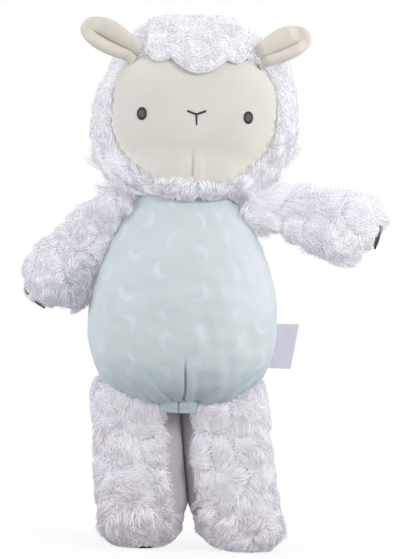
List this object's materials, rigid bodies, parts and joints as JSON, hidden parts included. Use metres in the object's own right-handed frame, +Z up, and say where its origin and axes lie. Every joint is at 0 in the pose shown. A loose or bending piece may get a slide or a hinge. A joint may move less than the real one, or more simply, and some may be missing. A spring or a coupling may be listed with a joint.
{
  "type": "plush toy",
  "caption": "Standing plush lamb with a jointed head, arms, legs and ears, and a smooth belly panel.",
  "frame": {"origin": "middle of the toy's bounding box on the floor that it stands on", "axes": "+Z up, the face looks along -Y, the toy's own left hand is at +X"},
  "size_m": [0.21, 0.0961, 0.3053],
  "materials": {
    "white_plush": "long curled pile",
    "cream_velour": "short velvety pile",
    "mint_jersey": "smooth knit with pale crescents",
    "pale_jersey": "smooth knit",
    "charcoal_thread": "satin stitch",
    "charcoal_felt": "matte felt",
    "white_tape": "woven tape",
    "filling": "loose fibre"
  },
  "bodies": {
    "torso": {"belly_panel": "mint_jersey", "back_panel_left": "white_plush", "back_panel_right": "white_plush", "crotch_gusset": "mint_jersey", "torso_filling": "filling"},
    "neck": {"neck_yoke": "white_plush"},
    "head": {"face_panel": "cream_velour", "hood_left": "white_plush", "hood_right": "white_plush", "head_filling": "filling", "forelock": "white_plush", "forelock_piping": "white_tape", "eye_left": "charcoal_thread", "eye_right": "charcoal_thread", "nose_stitch": "charcoal_thread"},
    "ear_left": {"ear_left_lining": "cream_velour", "ear_left_outer": "cream_velour"},
    "ear_right": {"ear_right_lining": "cream_velour", "ear_right_outer": "cream_velour"},
    "arm_left": {"arm_left_front_panel": "white_plush", "arm_left_back_panel": "white_plush", "arm_left_filling": "filling", "arm_left_pad": "charcoal_felt"},
    "arm_right": {"arm_right_front_panel": "white_plush", "arm_right_back_panel": "white_plush", "arm_right_filling": "filling", "arm_right_pad": "charcoal_felt"},
    "leg_left": {"leg_left_outer_panel": "white_plush", "leg_left_inner_panel": "pale_jersey", "leg_left_filling": "filling", "leg_left_sole": "charcoal_felt"},
    "leg_right": {"leg_right_outer_panel": "white_plush", "leg_right_inner_panel": "pale_jersey", "leg_right_filling": "filling", "leg_right_sole": "charcoal_felt"},
    "label": {"side_label": "white_tape"}
  },
  "joints": [
    {"name": "neck_turn", "type": "hinge", "parent": "torso", "child": "neck", "pos_m": [-0.0093, 0, 0.2], "axis": [0, 0, 1], "range_deg": [-30, 30], "stiffness_Nm_per_rad": 0.25},
    {"name": "head_nod", "type": "hinge", "parent": "neck", "child": "head", "pos_m": [-0.0069, 0, 0.2515], "axis": [1, 0, 0], "range_deg": [-15, 20], "stiffness_Nm_per_rad": 0.25},
    {"name": "arm_left_lift", "type": "hinge", "parent": "torso", "child": "arm_left", "pos_m": [0.0282, 0, 0.194], "axis": [0, -1, 0], "range_deg": [-40, 20], "stiffness_Nm_per_rad": 0.08},
    {"name": "arm_right_lift", "type": "hinge", "parent": "torso", "child": "arm_right", "pos_m": [-0.0468, 0, 0.194], "axis": [0, 1, 0], "range_deg": [0, 60], "stiffness_Nm_per_rad": 0.08},
    {"name": "leg_left_swing", "type": "hinge", "parent": "torso", "child": "leg_left", "pos_m": [0.0202, 0, 0.08], "axis": [-1, 0, 0], "range_deg": [-15, 40], "stiffness_Nm_per_rad": 0.6},
    {"name": "leg_right_swing", "type": "hinge", "parent": "torso", "child": "leg_right", "pos_m": [-0.0388, 0, 0.08], "axis": [-1, 0, 0], "range_deg": [-15, 40], "stiffness_Nm_per_rad": 0.6},
    {"name": "ear_left_flap", "type": "hinge", "parent": "head", "child": "ear_left", "pos_m": [0.0284, -0.0338, 0.281], "axis": [0.4886, -0.3387, -0.8041], "range_deg": [-10, 60], "stiffness_Nm_per_rad": 0.004},
    {"name": "ear_right_flap", "type": "hinge", "parent": "head", "child": "ear_right", "pos_m": [-0.0422, -0.0338, 0.281], "axis": [0.4888, 0.3434, 0.802], "range_deg": [-10, 60], "stiffness_Nm_per_rad": 0.004},
    {"name": "label_flap", "type": "hinge", "parent": "torso", "child": "label", "pos_m": [0.04396, 0.0048, 0.117], "axis": [0.1477, 0, 0.989], "range_deg": [-60, 60], "stiffness_Nm_per_rad": 0.0005}
  ]
}
